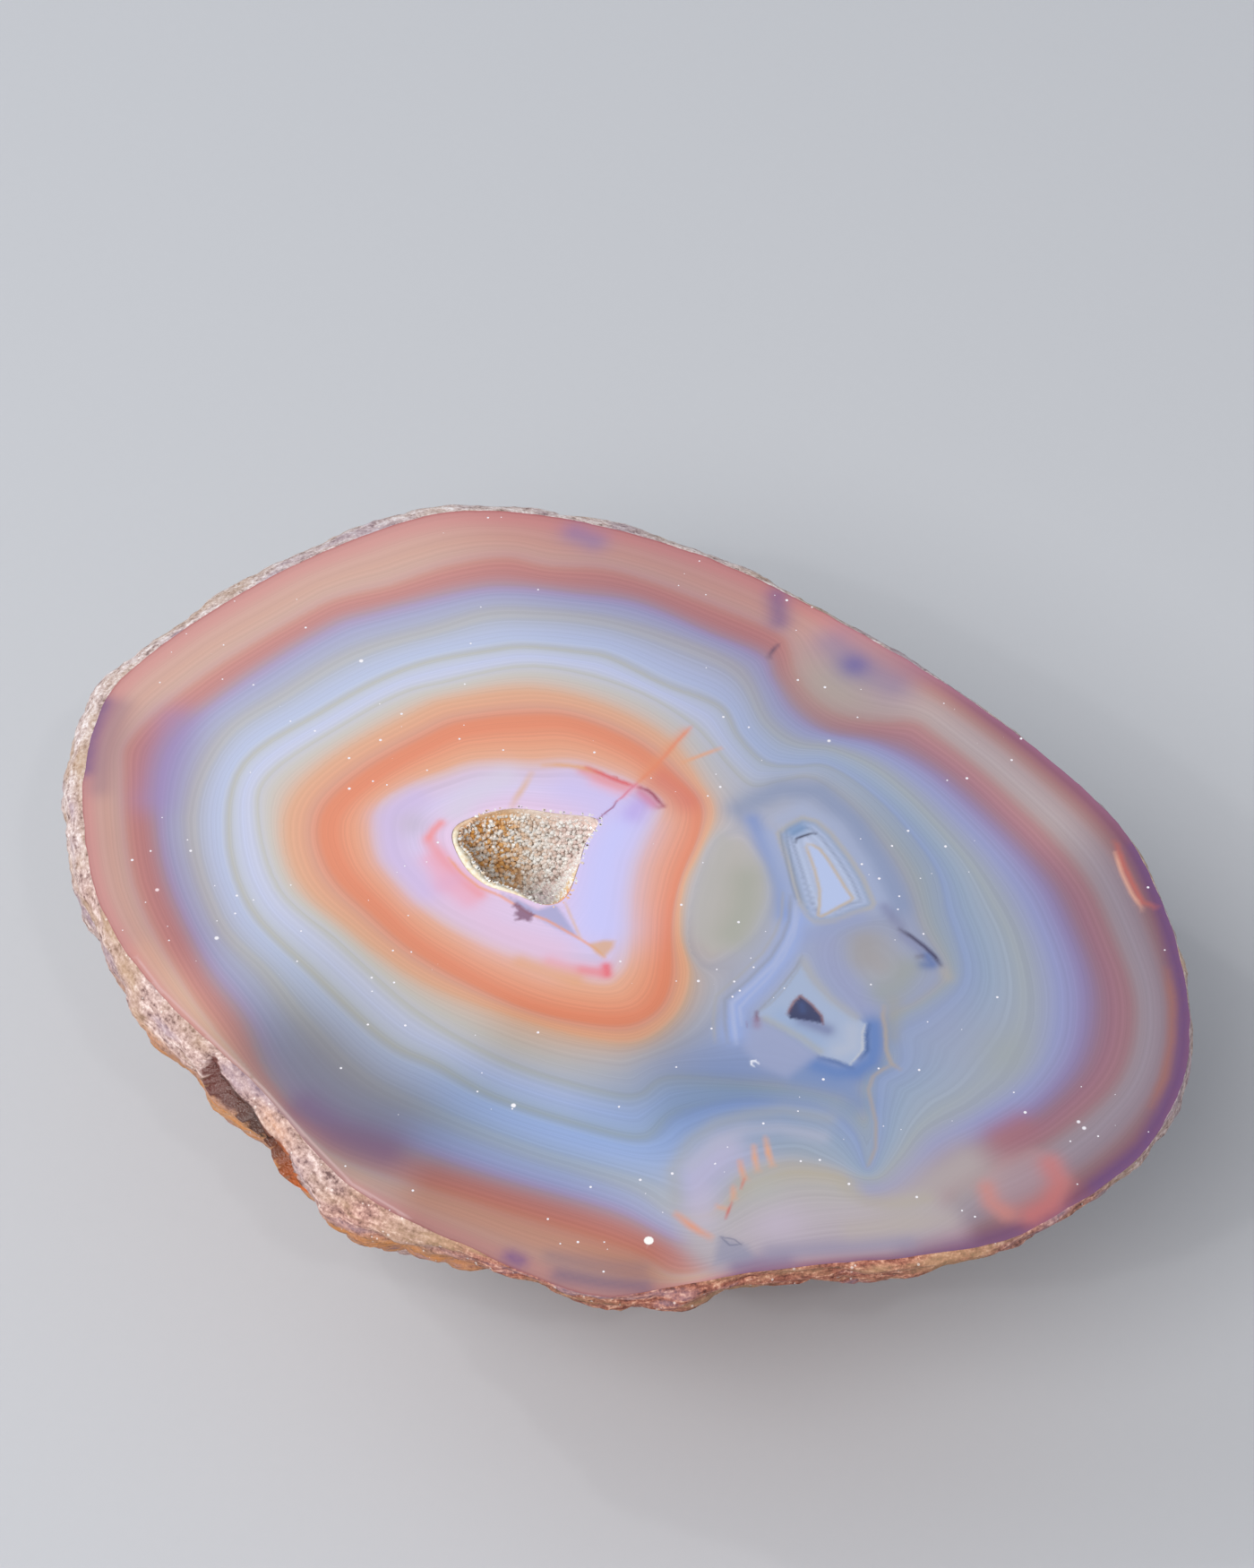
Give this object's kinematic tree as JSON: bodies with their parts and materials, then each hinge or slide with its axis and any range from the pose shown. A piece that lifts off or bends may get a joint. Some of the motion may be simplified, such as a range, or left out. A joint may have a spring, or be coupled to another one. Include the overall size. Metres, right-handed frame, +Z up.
{
  "type": "polished agate geode half",
  "caption": "Half of a banded agate nodule with a level polished cut face, a rough rind and a small pocket lined with quartz crystals.",
  "frame": {"origin": "on the flat spot that the stone rests on, under its middle", "axes": "+Z up, square out of the polished cut face; +X along the face's longest way, towards its rounder end; +Y across it"},
  "size_m": [0.1068, 0.0831, 0.033],
  "materials": {
    "agate": "banded chalcedony, high polish on the cut face, rough grainy rind elsewhere",
    "quartz_druse": "clear to honey-coloured quartz crystals with bright flat faces"
  },
  "bodies": {
    "root": {"agate_half": "agate", "quartz_crust": "quartz_druse"}
  },
  "joints": []
}
